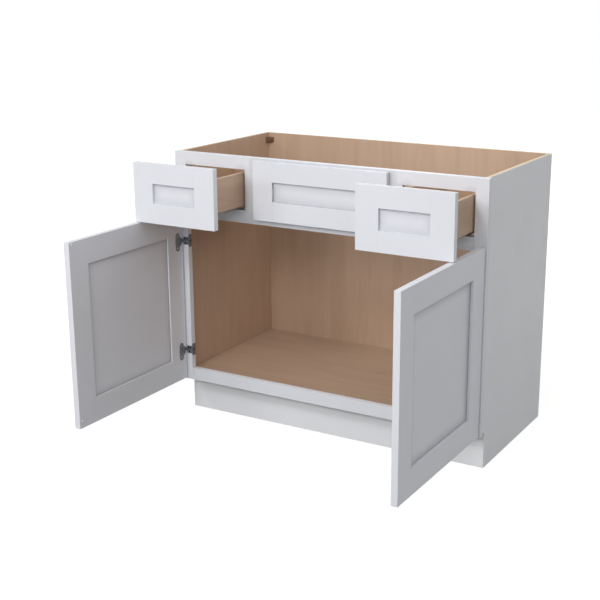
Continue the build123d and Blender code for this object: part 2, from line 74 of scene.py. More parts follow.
HALF_PIN = 9.6 * MM  # half a hinge pin's length
CUP_TO_SCREWS = 12 * MM  # from a hinge cup's front edge back to its flange's screws
CUP_TO_SPRING = 26 * MM  # and back to its spring
WING = 19.5 * MM  # from a hinge's middle, up and down, to its flange's screws
SPRING_SINK = 5.4 * MM  # from the flange's face in to its spring
SPRING_PROFILE = (  # radius and height in millimetres; the coils are too close to show, so it is a smooth rod
    (0.2, -8.0), (2.2, -8.0), (2.4, -7.4), (2.4, 7.4), (2.2, 8.0), (0.2, 8.0),
)
PLATE_FRONT_Y = -0.8 * MM  # front of the hinge plates on the face frame
PLATE_SCREWS = (  # out from the cabinet's middle, up from the hinge's middle, and turn in radians
    (498.5 * MM, 7 * MM, 0.2),
    (507 * MM, 7 * MM, 0.9),
    (503 * MM, -8 * MM, 0.5),
)
CLIP_SCREW = (492 * MM, 9.5 * MM)  # out from the cabinet's middle, back from the frame's front

RAIL_HALF = 11.5 * MM  # half the width of a slide rail
TAB_THICKNESS = 1.5 * MM
FRONT_TAB_SCREWS = ((8 * MM, 2.4), (22 * MM, 6.6))  # up from the foot of a slide's front tab, and turn
REAR_TAB_SCREW_DROP = 8 * MM  # down from the top of its rear tab
FRONT_SCREWS = (  # across from a drawer box's middle, up from its foot, and turn
    (-62 * MM, 34 * MM, 1.2),
    (-62 * MM, 82 * MM, 5.52),
    (62 * MM, 34 * MM, 4.92),
    (62 * MM, 82 * MM, 9.24),
)
BRACE_REACH = 11 * MM  # from a brace's corner, along each wall, to the middle of its screws
BRACE_SCREWS = ((-5.5 * MM, -1.1), (5.5 * MM, 1.1))  # along a brace's slope, and turn
BUMPER_SEGMENTS = 24
DOME_PROFILE = (  # shares of a bumper's radius and height
    (1.0, 0.0), (0.98, 0.35), (0.86, 0.68), (0.6, 0.9), (0.25, 1.0), (0.03, 1.0),
)

CABINET_MIDDLE = (0.0, 0.0, 0.45)
LAMPS = (  # name, place, width, and the point that it looks at
    ("key", (-0.6, -3.2, 3.4), 0.9, CABINET_MIDDLE),
    ("front", (-0.2, -4.2, 2.4), 0.9, CABINET_MIDDLE),
    ("left", (-2.0, -3.8, 2.2), 0.9, CABINET_MIDDLE),
    ("right", (1.2, -4.2, 2.0), 1.5, CABINET_MIDDLE),
    ("high", (2.4, -2.6, 3.4), 2.5, CABINET_MIDDLE),
    ("side", (4.0, 0.0, 0.9), 1.5, CABINET_MIDDLE),
    ("far_side", (-4.0, 0.8, 1.0), 1.5, CABINET_MIDDLE),
    ("back", (0.4, 4.6, 1.4), 2.0, CABINET_MIDDLE),
    ("case", (0.3, 0.2, 1.35), 0.5, (-0.4, 0.3, 0.6)),
)
FLOOR_REACH = 9.0  # from the cabinet's middle to the floor's edges
NEAR_FLOOR = (1.0, 0.84)  # distance from the cabinet's middle, and the strength of the floor's own white
FAR_FLOOR = (2.4, 1.0)  # there: it is weaker near the cabinet, so that the cabinet's shade shows


# ---------------------------------------------------------------- colours and sizes a user would change
def from_hex(code):
    """An sRGB hex colour as linear red, green, blue and alpha."""
    channels = [int(code[i:i + 2], 16) / 255 for i in (1, 3, 5)]
    linear = [c / 12.92 if c <= 0.04045 else ((c + 0.055) / 1.055) ** 2.4 for c in channels]
    return (*linear, 1.0)


WHITE = from_hex("#FFFFFF")
BLACK = from_hex("#000000")


def colour(name, description, code):
    """A colour setting."""
    return FloatVectorProperty(
        name=name, description=description, subtype="COLOR", size=4, min=0.0, max=1.0, default=from_hex(code)
    )


def length(name, description, millimetres):
    """A length setting, given in millimetres and kept in metres."""
    return FloatProperty(
        name=name, description=description, unit="LENGTH", subtype="DISTANCE", min=0.0, precision=5,
        default=millimetres * MM,
    )


def watts(name, description, power):
    """A lamp's power setting."""
    return FloatProperty(name=name, description=description, unit="POWER", default=power, min=0.0)


class CabinetColours(bpy.types.PropertyGroup):
    """The colours of the cabinet's finishes."""
    paint: colour("Paint", "Satin white lacquer on doors, fronts and frame", "#E8EAF0")
    # the toe board's white is brighter than the paint: painted light for the bounce its shaded top under the
    # bottom rail lacks
    toe_paint_with_painted_light: colour("Toe board", "Brighter white lacquer on the toe board", "#F6F7FA")
    end_paint: colour("End panel", "White laminate on the outside of the end panels", "#EEF0F4")
    birch: colour("Birch", "Clear-coated birch plywood inside the case", "#C0A48D")
    birch_streak: colour("Birch streak", "Darker grain of the birch plywood", "#AF927A")
    ply_light: colour("Plywood edge", "Long-grain layers of a sawn plywood edge", "#EADFC8")
    ply_dark: colour("Plywood edge, end grain", "End-grain layers of a sawn plywood edge", "#C9AE8B")
    maple: colour("Maple", "Clear-coated solid maple of the drawer boxes", "#C4A88F")
    maple_streak: colour("Maple streak", "Darker grain of the maple", "#B2917A")
    end_grain: colour("End grain", "Ends of the drawer boxes' boards, cut across the grain", "#AD8967")
    nickel: colour("Nickel", "Nickel-plated hinge steel", "#8E949A")
    dark_screw: colour("Adjusting screws", "Blackened adjusting screws of the hinges", "#2E2C2B")
    screw: colour("Screws", "Zinc-plated fixing screws", "#B9BABC")
    bronze: colour("Brace screws", "Bronzed screws of the corner braces", "#6B5644")
    zinc: colour("Slide steel", "Zinc-plated steel of the drawer slides", "#9E9D9B")
    brown: colour("Corner brace", "Moulded brown plastic of the corner braces", "#6A4C35")
    bumper: colour("Bumper", "Milky soft pads on the door backs", "#E8EAEE")
    floor: colour("Floor", "Grey of the floor for the light that it throws on the cabinet", "#767676")
    floor_shadow: colour("Floor shadow", "Part of the floor's white that shade takes away", "#959595")


class CabinetSizes(bpy.types.PropertyGroup):
    """The sizes of the details that dress the cabinet."""
    paint_edge: length("Painted edge", "Width of the sanded edge of painted wood", 0.6)
    ply_edge: length("Wood edge", "Width of the sanded edge of plywood and of the drawer boxes", 0.4)
    steel_edge: length("Steel edge", "Width of the rolled edge of pressed steel", 0.25)
    pin_edge: length("Pin edge", "Width of the eased edge of the hinge pins", 0.1)
    brace_edge: length("Brace edge", "Width of the moulded edge of the corner braces", 0.6)
    fixing_screw: length("Fixing screw", "Radius of a pan head that holds steel or a front to wood", 3.6)
    adjusting_screw: length("Small screw", "Radius of a hinge's adjusting screw and of a brace's screw", 3.1)
    bumper_radius: length("Bumper", "Radius of a door bumper", 4.0)


class CabinetStudio(bpy.types.PropertyGroup):
    """The studio's camera and lights."""
    camera_place: FloatVectorProperty(
        name="Camera", description="Where the camera stands", subtype="TRANSLATION", unit="LENGTH",
        default=(1.6746, -2.8783, 1.4012),
    )
    camera_turn: FloatProperty(
        name="Camera turn", description="How far the camera turns left of straight on", unit="ROTATION",
        subtype="ANGLE", default=math.radians(29.6162),
    )
    camera_dip: FloatProperty(
        name="Camera dip", description="How far the camera looks down", unit="ROTATION", subtype="ANGLE",
        default=math.radians(15.8267),
    )
    camera_shift: FloatVectorProperty(
        name="Camera shift", description="How far the view is shifted right and up, in shares of its width",
        size=2, default=(-0.0529, 0.0007), precision=4,
    )
    focal_length: FloatProperty(
        name="Lens", description="Focal length in millimetres", default=68.18, min=10.0
    )
    key_power: watts("Key light", "Power of the high light in front, a little to the left", 41.0)
    front_power: watts("Front light", "Power of the light straight in front", 42.0)
    left_power: watts("Left light", "Power of the light at the front left", 20.0)
    right_power: watts("Right light", "Power of the wide light at the front right", 20.0)
    high_power: watts("High right light", "Power of the widest light, high at the front right", 15.0)
    side_power: watts("Side light", "Power of the low light facing the right end", 8.0)
    far_side_power: watts("Far side light", "Power of the low light facing the left end", 14.0)
    back_power: watts("Back light", "Power of the wide light behind the cabinet", 28.0)
    case_power: watts("Case light", "Power of the small light above the open top", 1.9)
    sky: FloatProperty(
        name="Sky", description="Strength of the soft light from all round", default=0.26, min=0.0
    )
    zenith: FloatProperty(
        name="Sky overhead", description="Extra strength of the sky overhead", default=0.28, min=0.0
    )


# ---------------------------------------------------------------- building materials
def add_node(tree, kind, inputs=None, output=0, **settings):
    """Adds one shader node with its settings. Its inputs, named by identifier, are given as values or
    linked from sockets. Gives back one of its outputs, by number or identifier, if it has any."""
    node = tree.nodes.new("ShaderNode" + kind)
    for key, value in settings.items():
        setattr(node, key, value)
    sockets = {socket.identifier: socket for socket in node.inputs}
    for key, value in (inputs or {}).items():
        if isinstance(value, bpy.types.NodeSocket):
            tree.links.new(value, sockets[key])
        else:
            sockets[key].default_value = value
    if isinstance(output, str):
        return next(socket for socket in node.outputs if socket.identifier == output)
    return node.outputs[output] if node.outputs else None


def blank_material(name):
    """A new material that holds nothing yet, and its node tree."""
    material = bpy.data.materials.new(name)
    material.use_nodes = True
    material.node_tree.nodes.clear()
    return material, material.node_tree


def finished_material(material, inputs):
    """Closes a material with one principled shader."""
    shader = add_node(material.node_tree, "BsdfPrincipled", inputs)
    add_node(material.node_tree, "OutputMaterial", {"Surface": shader})
    return material


def shade(rgba, factor):
    """A colour made lighter or darker."""
    return (*(min(1.0, c * factor) for c in rgba[:3]), 1.0)


def toned(tree, pattern, low, high, first, second, most=1.0):
    """One colour where a pattern is low, running towards a second where it is high. Most is
    the largest share of the second."""
    amount = add_node(tree, "MapRange", {"Value": pattern, "From Min": low, "From Max": high, "To Max": most})
    colours = {"Factor_Float": amount, "A_Color": first, "B_Color": second}
    return add_node(tree, "Mix", colours, "Result_Color", data_type="RGBA")


def sprayed(tree, rgba):
    """A sprayed white coat: a tone that drifts a little every 350 mm or so, sanding marks about 60 mm
    across, and orange peel about 5 mm across."""
    place = add_node(tree, "TexCoord", output="Object")
    drift = add_node(tree, "TexNoise", {"Vector": place, "Scale": 1 / (350 * MM)})
    sanding = add_node(tree, "TexNoise", {"Vector": place, "Scale": 1 / (60 * MM), "Detail": 3.0})
    peel = add_node(tree, "TexNoise", {"Vector": place, "Scale": 1 / (5 * MM)})
    return toned(tree, drift, 0.35, 0.65, shade(rgba, 0.985), rgba), sanding, peel


def lacquer(name, rgba, corner=0.0):
    """Satin catalysed lacquer, sprayed on maple: an even cool white whose tone and sheen drift a little,
    with soft orange peel that breaks up highlights. A corner share above 0 adds painted shade: the colour
    runs towards black by up to that share where ambient occlusion finds inside corners. The square root lets
    that painted shade fade slowly."""
    material, tree = blank_material(name)
    tone, sanding, peel = sprayed(tree, rgba)
    if corner > 0.0:
        # painted shade: inside corners darken towards black by up to the corner's share
        open_air = add_node(tree, "AmbientOcclusion", {"Distance": CORNER_SHADE_REACH}, "AO", samples=16)
        closed_in = add_node(tree, "Math", {"Value": 1.0, "Value_001": open_air}, operation="SUBTRACT")
        painted_corner_shade = add_node(tree, "Math", {"Value": closed_in, "Value_001": 0.5}, operation="POWER")
        tone = toned(tree, painted_corner_shade, 0.0, 1.0, tone, BLACK, corner)
    satin = {"Value": sanding, "From Min": 0.3, "From Max": 0.7, "To Min": 0.36, "To Max": 0.46}
    return finished_material(material, {
        "Base Color": tone,
        "Roughness": add_node(tree, "MapRange", satin),
        "Normal": add_node(tree, "Bump", {"Height": peel, "Distance": 0.02 * MM, "Strength": 0.35}),
        "IOR": 1.48,
    })


def wood_tone(tree, rgba, streak, grain_axis, contrast):
    """The colour of clear-coated wood, and its pores. A broad figure about 45 mm wide, flames about 14 mm
    wide and pores run along the grain. Real pores are a tenth of a millimetre wide, too fine to show, so
    they are drawn 2.5 mm wide."""
    place = add_node(tree, "TexCoord", output="Object")
    tone = rgba
    for width, run, look, low, high, darker, most in (
        (45, 420, {"Detail": 3.0, "Distortion": 0.6}, 0.36, 0.66, streak, 1.0),
        (14, 260, {"Detail": 4.0, "Roughness": 0.55, "Distortion": 1.2}, 0.5, 0.72, shade(streak, 0.93), 0.6),
        (2.5, 90, {"Roughness": 0.6}, 0.55, 0.75, shade(streak, 0.8), 0.3),
    ):
        scale = [1 / (width * MM)] * 3
        scale[grain_axis] = 1 / (run * MM)
        drawn_out = add_node(tree, "Mapping", {"Vector": place, "Scale": scale})
        pattern = add_node(tree, "TexNoise", {"Vector": drawn_out, "Scale": 1.0, **look})
        tone = toned(tree, pattern, low, high, tone, darker, most * contrast)
    pores = pattern
    return tone, pores


def sawn_ends(tree, grain_axis):
    """1 on the faces that cut across the grain or lean towards it by 45 degrees or less, 0 elsewhere."""
    facing = add_node(tree, "TexCoord", output="Normal")
    part = add_node(tree, "SeparateXYZ", {"Vector": facing}, grain_axis)
    steepness = add_node(tree, "Math", {"Value": part}, operation="ABSOLUTE")
    return add_node(tree, "Math", {"Value": steepness, "Value_001": 0.7}, operation="GREATER_THAN")


def clear_coated(name, rgba, streak, end_grain, grain_axis, contrast):
    """Planed and clear-coated wood: a warm tan with long soft streaks, darker speckled ends where it is cut
    across the grain, and pores that only just dent the coat. The ends' speckles are pores too, and are
    drawn 1.5 mm wide so that they show."""
    material, tree = blank_material(name)
    tone, pores = wood_tone(tree, rgba, streak, grain_axis, contrast)
    place = add_node(tree, "TexCoord", output="Object")
    speckle = add_node(tree, "TexNoise", {"Vector": place, "Scale": 1 / (1.5 * MM), "Detail": 3.0})
    ends = toned(tree, speckle, 0.35, 0.65, end_grain, shade(end_grain, 0.85))
    tone = toned(tree, sawn_ends(tree, grain_axis), 0.0, 1.0, tone, ends)
    sheen = {"Value": pores, "From Min": 0.3, "From Max": 0.7, "To Min": 0.42, "To Max": 0.52}
    return finished_material(material, {
        "Base Color": tone,
        "Roughness": add_node(tree, "MapRange", sheen),
        "Normal": add_node(tree, "Bump", {"Height": pores, "Distance": 0.05 * MM, "Strength": 0.3}),
        "IOR": 1.5,
    })


def within_sheet(tree, axis, low, high):
    """How far through a sheet a point is, from 0 on its low face to 1 on its high face. Upright sheets at
    the sides mirror each other, so they are measured from the cabinet's middle."""
    place = add_node(tree, "TexCoord", output="Object")
    part = add_node(tree, "SeparateXYZ", {"Vector": place}, axis)
    if axis == X:
        part = add_node(tree, "Math", {"Value": part}, operation="ABSOLUTE")
    return add_node(tree, "MapRange", {"Value": part, "From Min": low, "From Max": high})


def sawn_layers(tree, depth, colours):
    """The layers of a sawn plywood edge, light and dark by turns, the dark ones uneven from the saw."""
    turns = add_node(tree, "Math", {"Value": depth, "Value_001": math.pi * PLY_LAYERS}, operation="MULTIPLY")
    wave = add_node(tree, "Math", {"Value": turns}, operation="SINE")
    band = add_node(tree, "MapRange", {"Value": wave, "From Min": -0.3, "From Max": 0.3})
    place = add_node(tree, "TexCoord", output="Object")
    saw = add_node(tree, "TexNoise", {"Vector": place, "Scale": 1 / (3 * MM), "Detail": 3.0})
    torn = add_node(tree, "MapRange", {"Value": saw, "From Min": 0.2, "From Max": 0.7, "To Min": 0.75})
    dark = add_node(tree, "Math", {"Value": band, "Value_001": torn}, operation="MULTIPLY")
    return toned(tree, dark, 0.0, 1.0, colours.ply_light, colours.ply_dark)


def plywood(name, colours, grain_axis, sheet_axis, low, high, painted_face=None, brightness=1.0):
    """Birch plywood 12 mm thick: clear-coated birch faces, with seven sawn layers of 1.7 mm along its edges.
    A painted face is white laminate, which is what the end panels show outside."""
    material, tree = blank_material(name)
    birch = shade(colours.birch, brightness)
    streak = shade(colours.birch_streak, brightness)
    tone, pores = wood_tone(tree, birch, streak, grain_axis, contrast=0.4)
    depth = within_sheet(tree, sheet_axis, low, high)
    above = add_node(tree, "Math", {"Value": depth, "Value_001": PLY_SKIN}, operation="GREATER_THAN")
    below = add_node(tree, "Math", {"Value": depth, "Value_001": 1 - PLY_SKIN}, operation="LESS_THAN")
    edge = add_node(tree, "Math", {"Value": above, "Value_001": below}, operation="MULTIPLY")
    tone = toned(tree, edge, 0.0, 1.0, tone, sawn_layers(tree, depth, colours))
    roughness = add_node(tree, "MapRange", {"Value": edge, "To Min": 0.44, "To Max": 0.7})
    if painted_face is not None:
        laminate, sanding, peel = sprayed(tree, painted_face)
        satin = {"Value": sanding, "From Min": 0.3, "From Max": 0.7, "To Min": 0.38, "To Max": 0.48}
        satin = add_node(tree, "MapRange", satin)
        face_from = {"Value": depth, "Value_001": 1 - PLY_SKIN}
        outside = add_node(tree, "Math", face_from, operation="GREATER_THAN")
        tone = toned(tree, outside, 0.0, 1.0, tone, laminate)
        roughness = add_node(tree, "Mix", {"Factor_Float": outside, "A_Float": roughness, "B_Float": satin})
        pores = add_node(tree, "Mix", {"Factor_Float": outside, "A_Float": pores, "B_Float": peel})
    return finished_material(material, {
        "Base Color": tone,
        "Roughness": roughness,
        "Normal": add_node(tree, "Bump", {"Height": pores, "Distance": 0.03 * MM, "Strength": 0.3}),
        "IOR": 1.5,
    })


def plated_steel(name, rgba, roughness, spangle=None):
    """Plated pressed steel: a metal whose gloss is broken by rolling lines, and for zinc by faint crystal
    patches of the spangle's size. Real rolling lines are too fine to show, so they are drawn 1 mm wide and
    40 mm long."""
    material, tree = blank_material(name)
    place = add_node(tree, "TexCoord", output="Object")
    lines = (1 / (1 * MM), 1 / (40 * MM), 1 / (1 * MM))
    drawn_out = add_node(tree, "Mapping", {"Vector": place, "Scale": lines})
    rolled = add_node(tree, "TexNoise", {"Vector": drawn_out, "Scale": 1.0})
    cloud = add_node(tree, "TexNoise", {"Vector": place, "Scale": 1 / (12 * MM), "Detail": 3.0})
    tone = toned(tree, cloud, 0.3, 0.7, shade(rgba, 0.88), shade(rgba, 1.06))
    if spangle:
        crystals = add_node(tree, "TexVoronoi", {"Vector": place, "Scale": 1 / spangle}, "Color")
        grey = add_node(tree, "SeparateColor", {"Color": crystals})
        tone = toned(tree, grey, 0.0, 1.0, tone, shade(rgba, 1.2), 0.35)
    gloss = {
        "Value": rolled, "From Min": 0.3, "From Max": 0.7,
        "To Min": roughness - 0.06, "To Max": roughness + 0.08,
    }
    return finished_material(material, {
        "Base Color": tone,
        "Metallic": 1.0,
        "Roughness": add_node(tree, "MapRange", gloss),
        "Normal": add_node(tree, "Bump", {"Height": rolled, "Distance": 0.01 * MM, "Strength": 0.25}),
    })


def moulded_nylon(name, rgba):
    """Injection-moulded nylon: brown, with a dull sheen and the slight grain of its mould. The real grain is
    too fine to show, so it is drawn 1.2 mm wide."""
    material, tree = blank_material(name)
    place = add_node(tree, "TexCoord", output="Object")
    grain = add_node(tree, "TexNoise", {"Vector": place, "Scale": 1 / (1.2 * MM)})
    cloud = add_node(tree, "TexNoise", {"Vector": place, "Scale": 1 / (15 * MM)})
    sheen = {"Value": cloud, "From Min": 0.3, "From Max": 0.7, "To Min": 0.48, "To Max": 0.58}
    return finished_material(material, {
        "Base Color": toned(tree, cloud, 0.3, 0.7, shade(rgba, 0.85), shade(rgba, 1.1)),
        "Roughness": add_node(tree, "MapRange", sheen),
        "Normal": add_node(tree, "Bump", {"Height": grain, "Distance": 0.05 * MM, "Strength": 0.3}),
        "IOR": 1.53,
    })


def soft_polyurethane(name, rgba):
    """Cast milky polyurethane: a smooth pad hardly darker than the paint behind it, with a soft gloss and a
    little light inside. Its clouds are about 3 mm across."""
    material, tree = blank_material(name)
    place = add_node(tree, "TexCoord", output="Object")
    cloud = add_node(tree, "TexNoise", {"Vector": place, "Scale": 1 / (3 * MM)})
    sheen = {"Value": cloud, "From Min": 0.3, "From Max": 0.7, "To Min": 0.3, "To Max": 0.4}
    return finished_material(material, {
        "Base Color": toned(tree, cloud, 0.3, 0.7, shade(rgba, 0.96), shade(rgba, 1.02)),
        "Roughness": add_node(tree, "MapRange", sheen),
        "Subsurface Weight": 0.2,
        "Subsurface Scale": 1 * MM,
        "IOR": 1.49,
    })


# ---------------------------------------------------------------- dressing the frame's nodes
def finish_nodes(names, material, edge_width, segments=2):
    """Gives CAD nodes a finish and rounds their edges with modifiers, which leaves their meshes alone."""
    for name in names:
        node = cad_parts[name]
        for slot in node.material_slots:
            slot.material = material
        merge = node.modifiers.new("merge", "WELD")
        merge.merge_threshold = WELD_DISTANCE
        ease = node.modifiers.new("ease", "BEVEL")
        ease.width = edge_width
        ease.segments = segments
        ease.limit_method = "ANGLE"
        ease.angle_limit = SHARP_ANGLE


def front_nodes(front):
    """The five pieces of a framed front: its uprights, rails and panel."""
    if front.endswith("_door"):
        uprights = ("hinge_stile", "lock_stile")
    else:
        uprights = ("stile_left", "stile_right")
    return [front + "_" + part for part in (*uprights, "bottom_rail", "top_rail", "panel")]


# ---------------------------------------------------------------- small parts
def turned(profile, segments):
    """A shape turned about Z from a profile of radius and height, closed at both ends."""
    bm = bmesh.new()
    points = [bm.verts.new((radius, 0.0, height)) for radius, height in profile]
    edges = [bm.edges.new(pair) for pair in zip(points, points[1:])]
    bmesh.ops.spin(
        bm, geom=points + edges, cent=(0, 0, 0), axis=(0, 0, 1), angle=math.tau, steps=segments,
        use_merge=True, use_duplicate=False,
    )
    bmesh.ops.holes_fill(bm, edges=bm.edges[:], sides=0)
    bmesh.ops.recalc_face_normals(bm, faces=bm.faces[:])
    return bm


def pan_head(radius, height):
    """A screw's domed head with a cross recess, standing on Z = 0."""
    bm = turned([(share * radius, rise * height) for share, rise in HEAD_PROFILE], SCREW_SEGMENTS)
    top = max(bm.faces, key=lambda face: face.calc_center_median().z)
    bmesh.ops.inset_individual(bm, faces=[top], thickness=HEAD_RIM * radius)
    arm_half = RECESS_ARM_HALF * radius
    step = math.tau / SCREW_SEGMENTS
    for vert in top.verts:
        turn = math.atan2(vert.co.y, vert.co.x)
        quarter = round(turn / (math.pi / 2)) * math.pi / 2
        steps_off = round((turn - quarter) / step)
        if abs(steps_off) < 2:
            place = Vector((RECESS_REACH * radius, arm_half * steps_off, vert.co.z))
            vert.co = Matrix.Rotation(quarter, 4, "Z") @ place
        else:
            vert.co.x = math.copysign(arm_half, vert.co.x)
            vert.co.y = math.copysign(arm_half, vert.co.y)
    floor = bmesh.ops.extrude_discrete_faces(bm, faces=[top])["faces"][0]
    bmesh.ops.translate(bm, vec=(0, 0, -RECESS_DEPTH * height), verts=floor.verts)
    bmesh.ops.scale(bm, vec=(RECESS_TAPER, RECESS_TAPER, 1.0), verts=floor.verts)
    return as_pattern(bm)


def as_pattern(bm):
    """Keeps a small shape so that it can be stamped in many places."""
    pattern = bpy.data.meshes.new("pattern")
    bm.to_mesh(pattern)
    bm.free()
    return pattern


def stamp(bm, pattern, place, direction, turn=0.0):
    """Adds a copy of a pattern at a place, its Z axis along a direction and turned about it."""
    first = len(bm.verts)
    bm.from_mesh(pattern)
    bm.verts.ensure_lookup_table()
    aim = Vector((0, 0, 1)).rotation_difference(Vector(direction)).to_matrix().to_4x4()
    matrix = Matrix.Translation(place) @ aim @ Matrix.Rotation(turn, 4, "Z")
    bmesh.ops.transform(bm, matrix=matrix, verts=bm.verts[first:])


def new_piece(name, bm, material, body):
    """Makes a piece of a finished bmesh and lets it ride on a body."""
    mesh = bpy.data.meshes.new(name)
    bm.to_mesh(mesh)
    bm.free()
    mesh.shade_smooth()
    mesh.set_sharp_from_angle(angle=SHARP_ANGLE)
    mesh.materials.append(material)
    piece = bpy.data.objects.new(name, mesh)
    bpy.context.scene.collection.objects.link(piece)
    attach(piece, body)
    return piece


def hinge_levels():
    """The heights of the middles of the lower and upper hinges, read from the pins."""
    low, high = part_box("left_door_hinge_pins")
    return low.z + HALF_PIN, high.z - HALF_PIN


# ---------------------------------------------------------------- studio
def seen_rays(tree):
    """1 for rays that show the background: straight from the camera, or in a gloss or through glass."""
    seen = add_node(tree, "LightPath", output="Is Camera Ray")
    for kind in ("Is Glossy Ray", "Is Transmission Ray"):
        other = add_node(tree, "LightPath", output=kind)
        seen = add_node(tree, "Math", {"Value": seen, "Value_001": other}, operation="MAXIMUM")
    return seen


def add_floor(rgba, shadow):
    """A matte painted floor. It shows plain white, which darkens a little where the cabinet shades it, and
    lights the cabinet as a mid grey."""
    bm = bmesh.new()
    bmesh.ops.create_grid(bm, x_segments=1, y_segments=1, size=FLOOR_REACH)
    mesh = bpy.data.meshes.new("studio_floor")
    bm.to_mesh(mesh)
    bm.free()
    material, tree = blank_material("matte_studio_floor")
    place = add_node(tree, "TexCoord", output="Object")
    cloud = add_node(tree, "TexNoise", {"Vector": place, "Scale": 1 / (1430 * MM)})
    matte = add_node(tree, "BsdfDiffuse", {"Color": toned(tree, cloud, 0.0, 1.0, shade(rgba, 0.99), rgba)})
    away = add_node(tree, "VectorMath", {"Vector": place}, "Value", operation="LENGTH")
    (near, near_strength), (far, far_strength) = NEAR_FLOOR, FAR_FLOOR
    fade = {
        "Value": away, "From Min": near, "From Max": far, "To Min": near_strength, "To Max": far_strength,
    }
    glow = add_node(tree, "Emission", {"Color": WHITE, "Strength": add_node(tree, "MapRange", fade)})
    shaded = add_node(tree, "BsdfDiffuse", {"Color": shadow})
    white = add_node(tree, "AddShader", {"Shader": glow, "Shader_001": shaded})
    shown = add_node(tree, "MixShader", {"Fac": seen_rays(tree), "Shader": matte, "Shader_001": white})
    add_node(tree, "OutputMaterial", {"Surface": shown})
    mesh.materials.append(material)
    floor = bpy.data.objects.new("studio_floor", mesh)
    bpy.context.scene.collection.objects.link(floor)


def add_sky(scene, strength, zenith):
    """A pale sky, brighter overhead, that lights the cabinet softly and shows as a white background."""
    scene.world = bpy.data.worlds.new("studio_sky")
    scene.world.use_nodes = True
    tree = scene.world.node_tree
    tree.nodes.clear()
    direction = add_node(tree, "TexCoord", output="Object")
    height = add_node(tree, "SeparateXYZ", {"Vector": direction}, "Z")
    rise = {"Value": height, "From Min": 0.1, "To Min": strength, "To Max": strength + zenith}
    soft = add_node(tree, "Background", {"Color": WHITE, "Strength": add_node(tree, "MapRange", rise)})
    white = add_node(tree, "Background", {"Color": WHITE, "Strength": 1.0})
    shown = add_node(tree, "MixShader", {"Fac": seen_rays(tree), "Shader": soft, "Shader_001": white})
    add_node(tree, "OutputWorld", {"Surface": shown})


def add_lamp(scene, name, place, width, target, power):
    """A soft square light that looks at a target and isn't seen itself."""
    light = bpy.data.lights.new(name, "AREA")
    light.shape = "SQUARE"
    light.size = width
    light.energy = power
    lamp = bpy.data.objects.new(name, light)
    lamp.location = place
    lamp.visible_camera = False
    lamp.rotation_euler = (Vector(target) - Vector(place)).to_track_quat("-Z", "Y").to_euler()
    scene.collection.objects.link(lamp)


def add_camera(scene, studio):
    """The camera, at the photograph's angle of view."""
    camera = bpy.data.objects.new("camera", bpy.data.cameras.new("camera"))
    scene.collection.objects.link(camera)
    camera.location = studio.camera_place
    camera.rotation_euler = (math.pi / 2 - studio.camera_dip, 0.0, studio.camera_turn)
    camera.data.lens = studio.focal_length
    camera.data.shift_x, camera.data.shift_y = studio.camera_shift
    scene.camera = camera


# ---------------------------------------------------------------- operators
class CABINET_OT_painted_parts(bpy.types.Operator):
    """Finish the face frame, doors, drawer fronts, false front and toe board in satin white lacquer"""
    bl_idname = "cabinet.painted_parts"
    bl_label = "Painted parts"

    def execute(self, context):
        colours = context.scene.cabinet_colours
        edge = context.scene.cabinet_sizes.paint_edge
        doors = [word + "_door" for word in SIDES]
        drawer_fronts = [word + "_drawer_front" for word in SIDES]
        door_panels = [door + "_panel" for door in doors]
        # these pieces get painted shade in their inside corners; the door panels get more of it
        corner_shaded = front_nodes("false_front") + [front + "_panel" for front in drawer_fronts]
        for part in ("bottom_rail", "mid_rail", "top_rail", "mullion_left", "mullion_right"):
            corner_shaded.append("frame_" + part)
        plain = ["frame_stile_left", "frame_stile_right"]
        for front in doors + drawer_fronts:
            plain += [name for name in front_nodes(front) if not name.endswith("_panel")]
        finish_nodes(plain, lacquer("satin_white_lacquer", colours.paint), edge)
        finish_nodes(corner_shaded, lacquer("white_lacquer_with_corners", colours.paint, corner=0.4), edge)
        finish_nodes(door_panels, lacquer("door_panel_lacquer", colours.paint, corner=0.7), edge)
        # the toe board's brighter white is painted light
        finish_nodes(["toe_board"], lacquer("toe_board_lacquer", colours.toe_paint_with_painted_light), edge)
        return {"FINISHED"}


class CABINET_OT_case_panels(bpy.types.Operator):
    """Finish the end panels, floor panel and back in birch plywood, white outside on the end panels"""
    bl_idname = "cabinet.case_panels"
    bl_label = "Case panels"

    def execute(self, context):
        colours = context.scene.cabinet_colours
        edge = context.scene.cabinet_sizes.ply_edge
        low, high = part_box("side_panel_right")
        side = plywood("birch_ply_with_white_laminate", colours, Z, X, low.x, high.x, colours.end_paint)
        finish_nodes(["side_panel_left", "side_panel_right"], side, edge)
        low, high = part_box("bottom_panel")
        # the floor panel's birch is 12 % darker than the other sheets: painted shade for the low floor inside
        # the case
        floor = plywood("birch_ply_floor", colours, X, Z, low.z, high.z, brightness=0.88)
        finish_nodes(["bottom_panel"], floor, edge)
        low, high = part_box("back_panel")
        finish_nodes(["back_panel"], plywood("birch_ply_back", colours, Z, Y, low.y, high.y), edge)
        return {"FINISHED"}


class CABINET_OT_drawer_boxes(bpy.types.Operator):
    """Finish the drawer boxes in clear-coated maple, with end grain on the finger joints"""
    bl_idname = "cabinet.drawer_boxes"
    bl_label = "Drawer boxes"

    def execute(self, context):
        colours = context.scene.cabinet_colours
        edge = context.scene.cabinet_sizes.ply_edge
        maple, streak, ends = colours.maple, colours.maple_streak, colours.end_grain
        along = clear_coated("clear_coated_maple_sides", maple, streak, ends, Y, contrast=0.65)
        across = clear_coated("clear_coated_maple_ends", maple, streak, ends, X, contrast=0.65)
        birch, birch_streak = colours.birch, colours.birch_streak
        sheet = clear_coated("clear_coated_birch_sheet", birch, birch_streak, ends, Y, contrast=0.6)
        for word in SIDES:
            box = word + "_drawer_"
            finish_nodes([box + "side_left", box + "side_right"], along, edge)
            finish_nodes([box + "box_front", box + "box_back"], across, edge)
            finish_nodes([box + "bottom"], sheet, edge)
        return {"FINISHED"}


